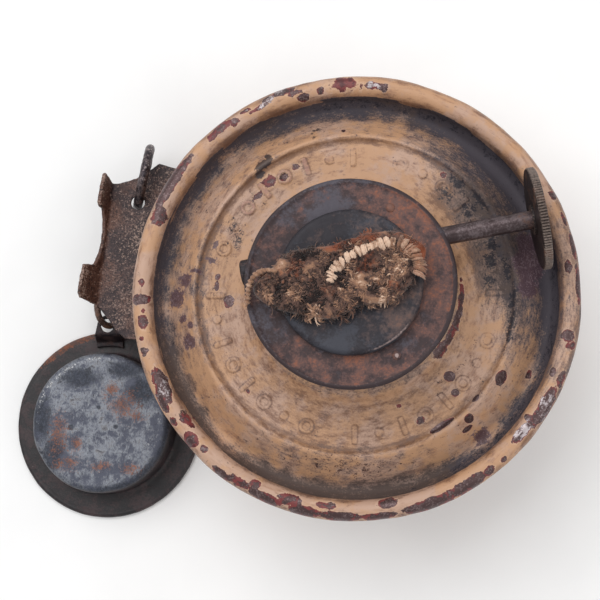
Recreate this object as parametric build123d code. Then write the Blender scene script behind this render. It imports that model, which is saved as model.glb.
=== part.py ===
from build123d import *
import math
import os

# Flat-wick spirit burner in tinned sheet steel, with a hanging bracket and a loose snuffer cap.
# Millimetres. Origin: on the burner's axis, at the flat of the base. +Z up.

# ---- Fount (the fuel tank) ----
SHEET = 0.6
BASE_R = 48.5
WALL_R = 49.2
WALL_TOP = 36.0
FLARE_R = 51.5
FLARE_Z = 39.6
BEAD_R = 52.4
BEAD_Z = 42.4
BEAD_OUTER = 2.6
WIRE_R = 1.95
CHANNEL_Z = 37.0
CHANNEL_R = 47.4
CREST_R = 39.4
CREST_Z = 44.2
BAND_Z = 43.0
BAND_OUT_R = 38.4
BAND_IN_R = 29.6
NECK_R = 24.9
NECK_Z = 46.4
NECK_HOLE_R = 18.3
MARK_COUNT = 36
MARK_R = 34.2
MARK_HEIGHT = 0.5

# ---- Burner ----
BURNER_ANGLE = 9.9
SKIRT_R = 17.1
FLANGE_R = 22.6
GASKET_T = 0.8
DRUM_R = 22.0
PLATE_R = 24.7
PLATE_Z = 61.7
PLATE_BEAD = 0.8
BOSS_R = 17.0
BOSS_TOP = 65.3
RIVET_RING_R = 19.9
RIVET_ANGLE = -58

# ---- Wick and its tube ----
WICK_W = 25.0
WICK_T = 4.4
WICK_FOOT_Z = 6.0
TUBE_GAP = 0.3
TUBE_FOOT_Z = 42.5
TUBE_TOP = 65.6
HEAD_Z = 66.0
HEAD_TOP = 70.6

# ---- Wick raiser ----
SPINDLE_R = 2.2
SPINDLE_Z = 54.2
SPINDLE_V = 8.2
RUN_GAP = 0.06
SPINDLE_LEFT = -24.4
STAR_R = 5.8
STAR_ROOT_R = 4.4
STAR_TEETH = 10
STAR_T = 1.2
STAR_U = 5.5
WHEEL_R = 12.2
WHEEL_T = 2.0
WHEEL_U = 46.1
KNURL_COUNT = 110
KNURL_DEPTH = 0.28
TENON_R = 1.6
BUSH_R = 3.2
BUSH_IN = 14.0
BUSH_OUT = 22.0
END_CAP_U = -25.4

# ---- Bracket on the fount's left side ----
BRACKET_ANGLE = 173.5
BRACKET_T = 1.2
BRACKET_Z = 15.0
FOLD_N = 70.2
BRACKET_BACK_R = 49.3
FLAP_Z = 3.0
FLAP_FROM = -34.0
FLAP_TO = 13.5
RIVET_AT = (-27.0, -9.0, 7.0)
RIVET_Z = 8.5
EAR_T = 1.2

# ---- Hanging ring and link ring ----
RING_R = 8.0
RING_WIRE = 1.3
RING_DROP = 2.4
RING_TILT = 12.6
RING_TURN = -5.0
RING_HOLE_R = 1.85
RING_HOLE_N = 62.5
RING_HOLE_S = -22.5
LINK_R = 5.65
LINK_WIRE = 0.9
LINK_LEAN = 65.0
TAB_S = 5.0
TAB_N = 70.9
TAB_Z = 11.4
TAB_HOLE_R = 1.6

# ---- Snuffer cap ----
CAP_X = -69.6
CAP_Y = -29.6
CAP_T = 0.7
CAP_BEAD_R = 24.5
CAP_BEAD = 0.9
CAP_CROWN_R = 18.7
CAP_TOP = 12.0
CAP_FLANGE_Z = 1.55
LUG_T = 1.0
LUG_HOLE_R = 1.8
LUG_HALF = 3.8
LUG_TIP_R = 2.9
LUG_FOOT_R = 21.3

BURNER_FRAME = Rot(0, 0, BURNER_ANGLE)
BRACKET_FRAME = Rot(0, 0, BRACKET_ANGLE)
CAP_FRAME = Pos(CAP_X, CAP_Y, 0)
DRUM_FOOT_Z = NECK_Z + SHEET / 2 + GASKET_T + 0.15 + SHEET


def turned(outline):
    """Solid of revolution about Z from a closed outline drawn as (radius, height)."""
    return revolve(Plane.XZ * make_face(outline), Axis.Z)


def sheet_outline(path, thickness):
    """Closed outline of a sheet of the given thickness whose middle follows the path."""
    left = offset(path, thickness / 2, side=Side.LEFT, closed=False)
    right = offset(path, thickness / 2, side=Side.RIGHT, closed=False)
    ends = []
    for near in (left @ 0, left @ 1):
        far = min(right @ 0, right @ 1, key=lambda point: (point - near).length)
        ends.append(Line(near, far))
    return left.edges() + right.edges() + ends


def turned_sheet(points, radius, thickness):
    """Spun sheet whose middle runs through (radius, height) points with rounded corners."""
    return turned(sheet_outline(FilletPolyline(*points, radius=radius), thickness))


def ring(outer, inner, low, high):
    """Plain tube or washer about Z."""
    return Pos(0, 0, low) * extrude(Circle(outer) - Circle(inner), high - low)


def along_spindle(u):
    """Frame on the spindle's line, u from the burner's axis, with its Z along the spindle."""
    return BURNER_FRAME * Pos(u, SPINDLE_V, SPINDLE_Z) * Rot(0, 90, 0)


def spindle_tube(outer, inner, start, end):
    """Tube round the spindle's line, from start to end."""
    section = Circle(outer) - Circle(inner) if inner else Circle(outer)
    return along_spindle(start) * extrude(section, end - start)


def dome(radius, height):
    """Rivet head: a spherical cap on the XY plane."""
    ball_r = (radius * radius + height * height) / (2 * height)
    ball = Pos(0, 0, height - ball_r) * Sphere(ball_r)
    return ball & Pos(0, 0, height / 2) * Box(4 * radius, 4 * radius, height)


def rivet(head_r, head_h, shank_r, grip):
    """Rivet along Z: the grip runs from 0 down, with a head on each end."""
    shank = Pos(0, 0, -grip / 2) * Cylinder(shank_r, grip)
    return dome(head_r, head_h) + shank + Pos(0, 0, -grip) * mirror(dome(head_r, head_h), Plane.XY)


# ---- Fount ----
def fount_body():
    mid_r = WALL_R - SHEET / 2
    path = [(mid_r, 0), (mid_r, WALL_TOP), (FLARE_R - 0.2, FLARE_Z - 0.3)]
    wall = turned_sheet(path, 1.2, SHEET)
    seam = Pos(0, 0, WALL_TOP / 2) * ring(WALL_R + 0.5, WALL_R - 0.1, -15.5, 15.5)
    seam &= Rot(0, 0, -75) * Pos(WALL_R, 0, WALL_TOP / 2) * Box(8, 6.5, WALL_TOP)
    holes = [rivet_place(angle) * Cylinder(1.2, 6) for angle in RIVET_AT]
    return wall + seam - holes


def base_plate():
    mid = SHEET / 2
    rise = 1.5
    edge = BASE_R - mid
    path = [(0, mid), (30, mid), (31.6, rise), (34.6, rise), (36.2, mid), (edge, mid), (edge, 4)]
    return turned_sheet(path, 0.7, SHEET)


def mark(kind):
    """One raised mark of the embossed band: a bar, a dot or a small ring."""
    if kind == 0:
        return extrude(RectangleRounded(4.6, 1.3, 0.5), MARK_HEIGHT)
    if kind == 1:
        return extrude(Circle(1.1), MARK_HEIGHT)
    return extrude(Circle(1.9) - Circle(1.0), MARK_HEIGHT)


def top_dish():
    mid_roll = BEAD_OUTER - SHEET / 2
    skirt_r = BEAD_R - mid_roll
    path = FilletPolyline(
        (NECK_HOLE_R, NECK_Z),
        (NECK_R - 0.3, NECK_Z),
        (NECK_R + 1.9, BAND_Z + 0.9),
        (BAND_IN_R, BAND_Z),
        (BAND_OUT_R, BAND_Z),
        (CREST_R, CREST_Z),
        (CHANNEL_R - 1.4, CHANNEL_Z + 0.3),
        (CHANNEL_R + 0.9, CHANNEL_Z),
        (skirt_r, CHANNEL_Z + 2.6),
        (skirt_r, BEAD_Z),
        radius=0.5,
    )
    roll = CenterArc((BEAD_R, BEAD_Z), mid_roll, 180, -290)
    dish = turned(sheet_outline(Wire(path.edges() + roll.edges()), SHEET))
    marks = []
    for i in range(MARK_COUNT):
        if i % 9 == 8:
            continue
        place = Rot(0, 0, 360 / MARK_COUNT * i) * Pos(MARK_R, 0, BAND_Z + SHEET / 2 - 0.05)
        marks.append(place * mark((i * 5 // 3) % 3))
    return dish + marks


def rim_wire():
    return Pos(0, 0, BEAD_Z) * Torus(BEAD_R, WIRE_R)


def neck_collar():
    top = NECK_Z - SHEET / 2 - 0.05
    tube = ring(NECK_HOLE_R - 0.1, SKIRT_R + 0.15, top - 6.5, NECK_Z + SHEET / 2)
    return tube + ring(21.4, SKIRT_R + 0.15, top - 0.8, top)


# ---- Burner ----
def tube_outline(grow):
    """Flat oval of the wick tube's bore, grown by a margin."""
    half = WICK_T / 2 + TUBE_GAP + grow
    return RectangleRounded(WICK_W + 2 * (TUBE_GAP + grow), 2 * half, half * 0.8)


def tube_bore(low, high, grow):
    """Prism of the wick tube's bore between two heights, grown by a margin."""
    return BURNER_FRAME * Pos(0, 0, low) * extrude(tube_outline(grow), high - low)


def collar_gasket():
    low = NECK_Z + SHEET / 2 + 0.05
    return ring(FLANGE_R - 0.6, NECK_HOLE_R + 0.2, low, low + GASKET_T)


def burner_base():
    top = DRUM_FOOT_Z - 0.05
    disc = Pos(0, 0, top - SHEET / 2) * Cylinder(FLANGE_R, SHEET)
    skirt = ring(SKIRT_R, SKIRT_R - 0.7, top - 7, top)
    vent = BURNER_FRAME * Pos(0, -10, top) * Cylinder(1.0, 4)
    return disc + skirt - tube_bore(top - 4, top + 4, SHEET + 0.05) - vent


def burner_drum():
    mid_r = DRUM_R - SHEET / 2
    top = PLATE_Z - SHEET / 2 - 0.05
    path = [(mid_r, DRUM_FOOT_Z), (mid_r, top), (17.6, top)]
    shell = turned_sheet(path, 0.8, SHEET)
    shell -= ring(mid_r + 1.0, mid_r - 1.0, DRUM_FOOT_Z - 1, DRUM_FOOT_Z)
    bores = [spindle_tube(BUSH_R + 0.02, 0, -30, -10), spindle_tube(BUSH_R + 0.02, 0, 10, 30)]
    return shell - bores - boss_rivet_places(Cylinder(1.0, 6))


def boss_rivet_places(shape):
    """Three copies of a shape at the plate's rivets."""
    angles = [RIVET_ANGLE + 120 * i for i in range(3)]
    return [Rot(0, 0, a) * Pos(RIVET_RING_R, 0, PLATE_Z) * shape for a in angles]


def burner_plate():
    mid = PLATE_Z + SHEET / 2
    bead_r = PLATE_R - PLATE_BEAD
    sheet = ring(bead_r, 14.9, PLATE_Z, PLATE_Z + SHEET)
    bead = Pos(0, 0, mid - 0.15) * Torus(bead_r, PLATE_BEAD)
    return sheet + bead - boss_rivet_places(Cylinder(1.0, 6))


def burner_boss():
    foot = PLATE_Z + SHEET + 0.05
    mid_r = BOSS_R - SHEET / 2
    path = [(0, BOSS_TOP - SHEET / 2), (mid_r, BOSS_TOP - SHEET / 2), (mid_r, foot)]
    cup = turned_sheet(path, 1.0, SHEET)
    cup -= ring(mid_r + 1, mid_r - 1, foot - 1, foot)
    return cup - tube_bore(foot, BOSS_TOP + 1, SHEET + 0.05)


def boss_rivets():
    grip = 2 * SHEET + 0.05
    one = Pos(0, 0, SHEET) * rivet(1.2, 0.5, 0.98, grip)
    return boss_rivet_places(one)


def wick_tube():
    walls = tube_bore(TUBE_FOOT_Z, TUBE_TOP, SHEET) - tube_bore(TUBE_FOOT_Z, TUBE_TOP, 0)
    windows = []
    for u in (-STAR_U, STAR_U):
        window = Box(STAR_T + 1.0, 4, 2 * STAR_R)
        windows.append(BURNER_FRAME * Pos(u, WICK_T / 2 + TUBE_GAP + 1.5, SPINDLE_Z) * window)
    return walls - windows


# ---- Wick raiser ----
def bearing_bush():
    return spindle_tube(BUSH_R, SPINDLE_R + RUN_GAP, BUSH_IN, BUSH_OUT)


def end_bearing():
    """Blind bearing in the drum's left side."""
    body = spindle_tube(BUSH_R, 0, END_CAP_U, -BUSH_IN)
    body = chamfer(body.edges().filter_by(GeomType.CIRCLE), 0.5)
    return body - spindle_tube(SPINDLE_R + RUN_GAP, 0, SPINDLE_LEFT - 0.2, -BUSH_IN + 1)


def spindle():
    rod = spindle_tube(SPINDLE_R, 0, SPINDLE_LEFT, WHEEL_U - WHEEL_T / 2)
    tenon = spindle_tube(TENON_R, 0, WHEEL_U - WHEEL_T / 2, WHEEL_U + WHEEL_T / 2)
    head = along_spindle(WHEEL_U + WHEEL_T / 2) * dome(2.2, 0.8)
    return rod + tenon + head


def star_outline():
    """Star wheel: pointed teeth between the root and tip radii."""
    points = []
    for i in range(2 * STAR_TEETH):
        radius = STAR_R if i % 2 == 0 else STAR_ROOT_R
        angle = math.radians(180 / STAR_TEETH * i)
        points.append((radius * math.cos(angle), radius * math.sin(angle)))
    return make_face(Polyline(*points, close=True)) - Circle(SPINDLE_R)


def star_wheels():
    starts = (-STAR_U - STAR_T / 2, STAR_U - STAR_T / 2)
    return [along_spindle(u) * extrude(star_outline(), STAR_T) for u in starts]


def thumb_wheel():
    """Disc with straight knurling cut as shallow grooves across its rim."""
    start = WHEEL_U - WHEEL_T / 2
    disc = Cylinder(WHEEL_R, WHEEL_T, align=(Align.CENTER, Align.CENTER, Align.MIN))
    disc = chamfer(disc.edges().filter_by(GeomType.CIRCLE), 0.3)
    side = KNURL_DEPTH * math.sqrt(2)
    groove = Pos(WHEEL_R, 0, WHEEL_T / 2) * Rot(0, 0, 45) * Box(side, side, 2 * WHEEL_T)
    grooves = [Rot(0, 0, 360 / KNURL_COUNT * i) * groove for i in range(KNURL_COUNT)]
    hub = extrude(Circle(3.6), -0.5)
    hub_ring = hub - Pos(0, 0, -0.5) * Cylinder(SPINDLE_R + 0.02, 1.0)
    wheel = disc - grooves + hub_ring
    return along_spindle(start) * (wheel - Cylinder(TENON_R, 3 * WHEEL_T))


# ---- Wick ----
def wick():
    """Flat cotton wick: straight in its tube, with a spread head that lies over to the left."""
    section = RectangleRounded(WICK_W, WICK_T, 1.6)
    strip = Pos(0, 0, WICK_FOOT_Z) * extrude(section, HEAD_Z + 1 - WICK_FOOT_Z)
    lip = Pos(6.0, 1.4, HEAD_Z) * extrude(Ellipse(12.3, 8.2), HEAD_TOP - HEAD_Z)
    tail = Pos(-12.0, 1.0, HEAD_Z) * extrude(Ellipse(10.2, 8.0), HEAD_TOP - 1.2 - HEAD_Z)
    return BURNER_FRAME * (strip + lip + tail)


# ---- Bracket ----
def rivet_place(angle):
    """Frame of a bracket rivet: Z points outward through the fount's wall."""
    return BRACKET_FRAME * Rot(0, 0, angle) * Pos(WALL_R, 0, RIVET_Z) * Rot(0, 90, 0)


def bracket_shelf():
    """Flat shelf of the bracket, as (outward, across) points, cut back to the fount's wall."""
    outline = Polyline(
        (40.6, -28.0),
        (53.3, -33.0),
        (58.1, -33.9),
        (60.6, -31.7),
        (63.6, -29.3),
        (68.2, -27.4),
        (FOLD_N, -27.2),
        (FOLD_N, 6.2),
        (66.3, 10.0),
        (63.7, 12.9),
        (61.3, 14.5),
        (58.0, 14.6),
        (47.0, 12.0),
        close=True,
    )
    shelf = Pos(0, 0, BRACKET_Z - BRACKET_T / 2) * extrude(make_face(outline), BRACKET_T)
    shelf -= Cylinder(BRACKET_BACK_R, 100)
    return shelf - Pos(RING_HOLE_N, RING_HOLE_S, BRACKET_Z) * Cylinder(RING_HOLE_R, 6)


def bracket_flap():
    """Curved flap that lies on the fount's wall below the shelf."""
    flap = ring(BRACKET_BACK_R + BRACKET_T, BRACKET_BACK_R, FLAP_Z, BRACKET_Z)
    span = FLAP_TO - FLAP_FROM
    reach = 60.0
    end = (reach * math.cos(math.radians(span)), reach * math.sin(math.radians(span)))
    sides = Line((0, 0), (reach, 0)) + Line((0, 0), end)
    wedge = make_face(sides + CenterArc((0, 0), reach, 0, span))
    return flap & Rot(0, 0, FLAP_FROM) * extrude(wedge, BRACKET_Z)


def ear(outline, lean):
    """Upturned ear: an outline of (across, height) points on a plane that leans outward."""
    upright = extrude(Plane.YZ * make_face(outline), EAR_T / 2, both=True)
    return Pos(FOLD_N, 0, BRACKET_Z) * Rot(0, lean, 0) * upright


def first_ear():
    return ear(Polyline(
        (-27.0, 0), (-29.2, 4.9), (-28.4, 5.6), (-20.6, 6.1), (-19.6, 5.0), (-19.4, 0), close=True
    ), 16)


def middle_lip():
    """Low lip between the ears, with a hollow upper edge."""
    outline = Line((-19.6, 0), (-19.6, 3.2)) + ThreePointArc((-19.6, 3.2), (-12.0, 1.3), (-4.2, 3.4))
    return ear(outline + Polyline((-4.2, 3.4), (-4.2, 0), (-19.6, 0)), 23)


def second_ear():
    return ear(Polyline((-4.4, 0), (-3.9, 6.9), (4.0, 7.3), (5.4, 6.4), (6.2, 0), close=True), 32)


def link_tab():
    """Tab under the shelf, edge on to the wall, with the link ring's hole."""
    outline = Polyline(
        (68.4, 0), (71.2, 0), (72.9, -2.6), (72.9, -5.2),
        (72.0, -6.2), (69.4, -6.2), (68.4, -5.2), close=True,
    )
    on_side = Pos(0, TAB_S, BRACKET_Z) * Rot(90, 0, 0)
    tab = on_side * Pos(0, 0, -BRACKET_T / 2) * extrude(make_face(outline), BRACKET_T)
    return tab - Pos(TAB_N, TAB_S, TAB_Z) * Rot(90, 0, 0) * Cylinder(TAB_HOLE_R, 6)


def bracket():
    fold_from, fold_to = -27.1, 6.1
    middle = (fold_from + fold_to) / 2
    fold = Pos(FOLD_N, middle, BRACKET_Z) * Rot(90, 0, 0) * Cylinder(BRACKET_T / 2, fold_to - fold_from)
    pressing = bracket_shelf() + bracket_flap() + first_ear() + middle_lip() + second_ear() + fold
    shape = BRACKET_FRAME * (pressing + link_tab())
    return shape - [rivet_place(angle) * Cylinder(1.2, 6) for angle in RIVET_AT]


def bracket_rivets():
    outside = BRACKET_BACK_R + BRACKET_T - WALL_R + 0.02
    one = Pos(0, 0, outside) * rivet(2.4, 1.3, 1.18, outside + SHEET + 0.1)
    return [rivet_place(angle) * one for angle in RIVET_AT]


# ---- Rings ----
def hanging_ring():
    """Ring through the shelf's hole, leaning a little outward at its foot."""
    across = math.sqrt(RING_R * RING_R - RING_DROP * RING_DROP)
    hole = Pos(RING_HOLE_N, RING_HOLE_S, BRACKET_Z) * Rot(0, 0, RING_TURN)
    hung = hole * Rot(0, -RING_TILT, 0) * Pos(0, -across, -RING_DROP)
    return BRACKET_FRAME * hung * Rot(0, 90, 0) * Torus(RING_R, RING_WIRE)


def link_frame():
    """Frame at the link ring's centre: Z is the ring's axis, and it hangs from the tab's hole."""
    lean = math.radians(LINK_LEAN)
    centre = Pos(TAB_N - LINK_R * math.cos(lean), TAB_S, TAB_Z - LINK_R * math.sin(lean))
    return BRACKET_FRAME * centre * Rot(0, 180 - LINK_LEAN, 0)


def link_ring():
    return link_frame() * Torus(LINK_R, LINK_WIRE)


# ---- Snuffer cap ----
def snuffer_cap():
    mid_r = CAP_CROWN_R - CAP_T / 2
    top = CAP_TOP - CAP_T / 2
    path = [(0, top), (mid_r, top), (mid_r + 0.25, CAP_FLANGE_Z), (CAP_BEAD_R, CAP_FLANGE_Z)]
    shell = turned_sheet(path, 1.4, CAP_T)
    bead = Pos(0, 0, CAP_BEAD) * Torus(CAP_BEAD_R, CAP_BEAD)
    return CAP_FRAME * (shell + bead)


def lug_hole():
    """Point where the link ring's wire passes through the lug."""
    return (link_frame() * Pos(0, LINK_R, 0)).position


def snuffer_lug():
    """Lug brazed to the cap's flange inside its rolled edge, bent up to the link ring."""
    hole = lug_hole()
    foot_z = CAP_FLANGE_Z + CAP_T / 2 + 0.05 + LUG_T / 2
    far = CAP_Y + LUG_FOOT_R - 2
    near = CAP_Y + CAP_BEAD_R - CAP_BEAD - 0.7
    tip = hole.Y + LUG_TIP_R + 0.5
    side = FilletPolyline((far, foot_z), (near, foot_z), (near + 1.6, hole.Z), (tip, hole.Z), radius=0.6)
    strip = extrude(Plane.YZ * make_face(sheet_outline(side, LUG_T)), 8, both=True)
    plan = make_face(Polyline(
        (-LUG_HALF, far), (LUG_HALF, far), (LUG_HALF, near), (LUG_TIP_R, hole.Y),
        (-LUG_TIP_R, hole.Y), (-LUG_HALF, near), close=True,
    ))
    plan += Pos(0, hole.Y) * Circle(LUG_TIP_R)
    plan -= Pos(CAP_X - hole.X, CAP_Y) * Circle(LUG_FOOT_R)
    lug = Pos(hole.X, 0, 0) * (strip & extrude(plan, 20))
    return lug - Pos(hole.X, hole.Y, hole.Z) * Cylinder(LUG_HOLE_R, 6)


NODES = (
    fount_body, base_plate, top_dish, rim_wire, neck_collar,
    collar_gasket, burner_base, burner_drum, burner_plate, burner_boss, boss_rivets, wick_tube,
    bearing_bush, end_bearing, spindle, star_wheels, thumb_wheel, wick,
    bracket, bracket_rivets, hanging_ring, link_ring,
    snuffer_cap, snuffer_lug,
)


def solids_of(shape):
    """One compound of the solids of a shape or of a list of shapes."""
    shapes = shape if isinstance(shape, (list, tuple)) else [shape]
    return Compound(children=[solid for one in shapes for solid in one.solids()])


def main():
    os.makedirs("parts", exist_ok=True)
    for make in NODES:
        export_step(solids_of(make()), f"parts/{make.__name__}.step")


main()
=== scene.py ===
import math

import bmesh
import bpy
import numpy as np
from mathutils import Matrix, Vector


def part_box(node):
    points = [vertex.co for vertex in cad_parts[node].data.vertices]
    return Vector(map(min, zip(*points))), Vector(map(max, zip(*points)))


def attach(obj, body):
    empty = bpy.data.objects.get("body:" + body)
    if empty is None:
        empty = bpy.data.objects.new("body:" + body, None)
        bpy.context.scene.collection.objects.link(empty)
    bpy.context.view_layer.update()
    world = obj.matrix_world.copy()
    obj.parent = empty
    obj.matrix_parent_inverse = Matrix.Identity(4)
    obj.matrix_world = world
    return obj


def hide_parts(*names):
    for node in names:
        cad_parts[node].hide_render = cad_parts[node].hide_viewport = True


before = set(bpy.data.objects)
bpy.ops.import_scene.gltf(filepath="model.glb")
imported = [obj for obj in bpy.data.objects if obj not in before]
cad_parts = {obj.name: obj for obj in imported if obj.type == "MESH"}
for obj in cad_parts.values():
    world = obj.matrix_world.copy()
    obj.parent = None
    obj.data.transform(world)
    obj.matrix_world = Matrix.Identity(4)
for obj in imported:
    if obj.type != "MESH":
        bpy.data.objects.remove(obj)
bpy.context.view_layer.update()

# Lengths are in millimetres and angles in degrees, anticlockwise from +X seen from above,
# until a mesh or a light is made. Blender itself works in metres.
MM = 0.001
BURNER_ANGLE = 9.9
rng = np.random.default_rng(41)


# ---- Fields and materials ----
class Field:
    """A value or a colour that varies over a surface. Arithmetic on it adds shader nodes."""

    def __init__(self, paint, socket):
        self.paint = paint
        self.socket = socket

    def __add__(self, other):
        return self.paint.calc("ADD", self, other)

    def __sub__(self, other):
        return self.paint.calc("SUBTRACT", self, other)

    def __rsub__(self, other):
        return self.paint.calc("SUBTRACT", other, self)

    def __mul__(self, other):
        return self.paint.calc("MULTIPLY", self, other)

    __radd__ = __add__
    __rmul__ = __mul__


class Paint:
    """One material, written as arithmetic on noise fields over the surface in millimetres.

    Colours are display values of 0 to 255.
    """

    def __init__(self, name):
        self.material = bpy.data.materials.new(name)
        self.material.use_nodes = True
        self.tree = self.material.node_tree
        self.tree.nodes.clear()
        self.at = self.vector("SCALE", self.node("TexCoord", {}, "Object"), scale=1 / MM)

    def put(self, socket, value):
        """Links a field to a socket, or sets a plain value on it."""
        if isinstance(value, Field):
            self.tree.links.new(value.socket, socket)
        elif socket.type == "RGBA":
            socket.default_value = (*((c / 255) ** 2.2 for c in value), 1)
        else:
            socket.default_value = value

    def node(self, kind, inputs, output=0, **settings):
        """Adds a shader node with its settings and inputs, and gives one of its outputs."""
        node = self.tree.nodes.new("ShaderNode" + kind)
        for name, value in settings.items():
            setattr(node, name, value)
        for name, value in inputs.items():
            self.put(node.inputs[name], value)
        return Field(self, node.outputs[output])

    def calc(self, operation, a, b):
        return self.node("Math", {0: a, 1: b}, operation=operation)

    def vector(self, operation, a, b=None, scale=None):
        inputs = {0: a, 1: b, "Scale": scale}
        inputs = {name: value for name, value in inputs.items() if value is not None}
        output = "Value" if operation == "LENGTH" else "Vector"
        return self.node("VectorMath", inputs, output, operation=operation)

    def noise(self, size, detail=3, rough=0.5, at=None, warp=0):
        """Cloudy noise of 0 to 1, mostly near a half, with features about `size` across."""
        return self.node("TexNoise", {"Vector": at or self.at, "Scale": 1 / size, "Detail": detail,
                                      "Roughness": rough, "Distortion": warp})

    def grains(self, *kinds):
        """Noises of about -0.5 to 0.5, each from its size, detail, roughness, place and warp."""
        return [self.noise(*kind) - 0.5 for kind in kinds]

    def ramp(self, value, low, high):
        """Smooth step from 0 at low to 1 at high. Low may be above high."""
        flip = low > high
        inputs = {"Value": value, "From Min": min(low, high), "From Max": max(low, high),
                  "To Min": float(flip), "To Max": float(not flip)}
        return self.node("MapRange", inputs, interpolation_type="SMOOTHSTEP")

    def mix(self, a, b, amount):
        return self.node("Mix", {0: amount, 6: a, 7: b}, 2, data_type="RGBA")

    def over(self, base, layer, field, low, high, share=1):
        """A layer over the base, from none where the field is low to its full share where it is high."""
        amount = self.ramp(field, low, high)
        return self.mix(base, layer, amount if share == 1 else amount * share)

    def painted(self, name):
        """A field painted on the mesh's vertices."""
        return self.node("Attribute", {}, "Fac", attribute_name=name)

    def edges(self):
        """A half on flat ground, more on outer edges and less in creases."""
        return self.node("NewGeometry", {}, "Pointiness")

    def streaks(self, around, across):
        """Coordinates that draw a noise out round the Z axis, as a turning rag or lathe does."""
        flat = self.vector("MULTIPLY", self.at, (1, 1, 0))
        turn = self.vector("SCALE", self.vector("NORMALIZE", flat), scale=1 / around)
        out = self.node("CombineXYZ", {2: self.vector("LENGTH", flat) * (1 / across)})
        return self.vector("ADD", turn, out)

    def finish(self, colour, rough, metal=0.0, height=None, **fixed):
        """Closes the material. The height is in millimetres, for bump."""
        inputs = {"Base Color": colour, "Roughness": rough, "Metallic": metal}
        inputs.update((name.replace("_", " "), value) for name, value in fixed.items())
        if height is not None:
            inputs["Normal"] = self.node("Bump", {"Distance": MM, "Height": height})
        out = self.tree.nodes.new("ShaderNodeOutputMaterial")
        self.put(out.inputs[0], self.node("BsdfPrincipled", inputs))
        return self.material


# Paint, dirt, painted shade and metal colours of the fount.
TAN = (188, 146, 114)
TAN_PINK = (186, 152, 132)
TAN_BROWN = (146, 102, 76)
STAIN = (104, 74, 58)
SMEAR = (112, 95, 90)
SOOT = (66, 64, 73)
SOOT_BROWN = (80, 68, 64)
SPOT = (74, 52, 48)
BLOT = (80, 60, 68)
BLOT_PALE = (118, 98, 104)
CHAR_BLACK = (38, 37, 45)
PRIMER = (118, 58, 58)
PRIMER_DARK = (84, 44, 46)
PRIMER_PINK = (164, 122, 110)
OLD_METAL = (82, 64, 64)
OLD_METAL_PALE = (122, 104, 104)
SCRAPED = (184, 174, 176)


def old_paint(name):
    """Dark yellow paint over red primer over dark steel, chipped, scuffed and grimy, with painted shade in
    its hollows and a painted highlight round its chips.
    """
    m = Paint(name)
    cloud, patch, ragged, fine = m.grains((14,), (3.4, 4, 0.62), (1.1, 5, 0.66, None, 0.6), (0.38, 3, 0.6))
    other, streak, rub = m.grains(
        (2.1, 4, 0.6, m.vector("ADD", m.at, (31, 17, 5))),
        (1, 4, 0.62, m.streaks(0.10, 1.3)), (1, 5, 0.7, m.streaks(0.045, 0.55)))
    wear = m.painted("wear") + ragged * 0.5 + other * 0.9 + fine * 0.1
    primer = m.ramp(wear, 0.0, 0.05)
    kept = m.calc("MINIMUM", m.painted("scrape"), 0.0)
    metal = m.ramp(wear + patch * 1.9 + other * 0.8 + ragged * 0.5 + kept, 0.08, 0.18)

    tan = m.over(TAN, TAN_PINK, cloud + patch * 0.8, -0.10, 0.12)
    tan = m.over(tan, TAN_BROWN, streak + patch * 0.5 + rub * 0.3, -0.02, 0.26, 0.6)
    # This field holds real stains and painted shade along the dish's step, round the burner plate and on
    # the bead's sides.
    stain = m.painted("stain") + streak * 1.1 + rub * 0.8 + fine * 0.5
    tan = m.over(tan, STAIN, stain, 0.30, 1.05, 0.8)
    tan = m.over(tan, PRIMER_PINK, m.painted("pink") + ragged * 1.2 + fine, 0.3, 0.7, 0.75)
    # This field holds real grime and painted shade: under the burner plate and on the bead's sides.
    grime = m.painted("grime")
    smear = grime + patch * 0.9 + rub + streak * 0.5 + fine * 0.6
    tan = m.over(tan, SMEAR, smear, 0.06, 0.72, 0.8)
    dirt = m.ramp(grime + rub * 1.7 + fine * 1.3 + patch * 0.9 + ragged * 0.9, 0.36, 1.05)
    soot = m.over(SOOT_BROWN, SOOT, m.painted("cold") + cloud + other, 0.2, 0.8)
    colour = m.mix(tan, soot, dirt * 0.92)
    pits = m.painted("speckle") * 0.34 + ragged * 1.5 + fine * 0.9 + other * 0.6
    colour = m.over(colour, SPOT, pits, 0.40, 0.50, 0.85)
    blot = m.painted("blot") + ragged * 1.8 + other * 1.4 + fine * 0.8
    blot_colour = m.over(BLOT, BLOT_PALE, fine + ragged, 0.02, 0.16)
    colour = m.over(colour, blot_colour, blot, -0.05, 0.2, 0.9)
    # This field holds real char marks and painted shade in the deepest part of the well.
    char = m.painted("char") + ragged * 1.9 + fine * 1.1 + other * 1.2
    colour = m.over(colour, CHAR_BLACK, char, 0.05, 0.4, 0.85)

    red = m.over(PRIMER, PRIMER_DARK, other + ragged + fine * 0.5, -0.05, 0.15)
    steel = m.over(OLD_METAL, OLD_METAL_PALE, fine + ragged * 0.8 + other * 0.5, 0.0, 0.24)
    scrape = m.painted("scrape") + rub * 1.2 + other * 1.2 + fine * 0.7
    steel = m.over(steel, SCRAPED, scrape, 0.34, 0.7)
    colour = m.mix(colour, red, primer)
    colour = m.mix(colour, steel, metal * primer)
    # Painted highlight: a pale rim on the paint just outside each chip's edge.
    edge = m.ramp(wear, -0.14, -0.01) * (1 - primer) * (1 - dirt)
    colour = m.mix(colour, (208, 176, 152), edge * 0.4)

    rough = 0.46 + dirt * 0.3 + fine * 0.3 - primer * 0.08
    height = primer * -0.05 + metal * -0.03 + fine * 0.035 + ragged * 0.06
    return m.finish(colour, rough, metal * primer * 0.5, height - dirt * 0.01, Specular_IOR_Level=0.4)


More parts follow.
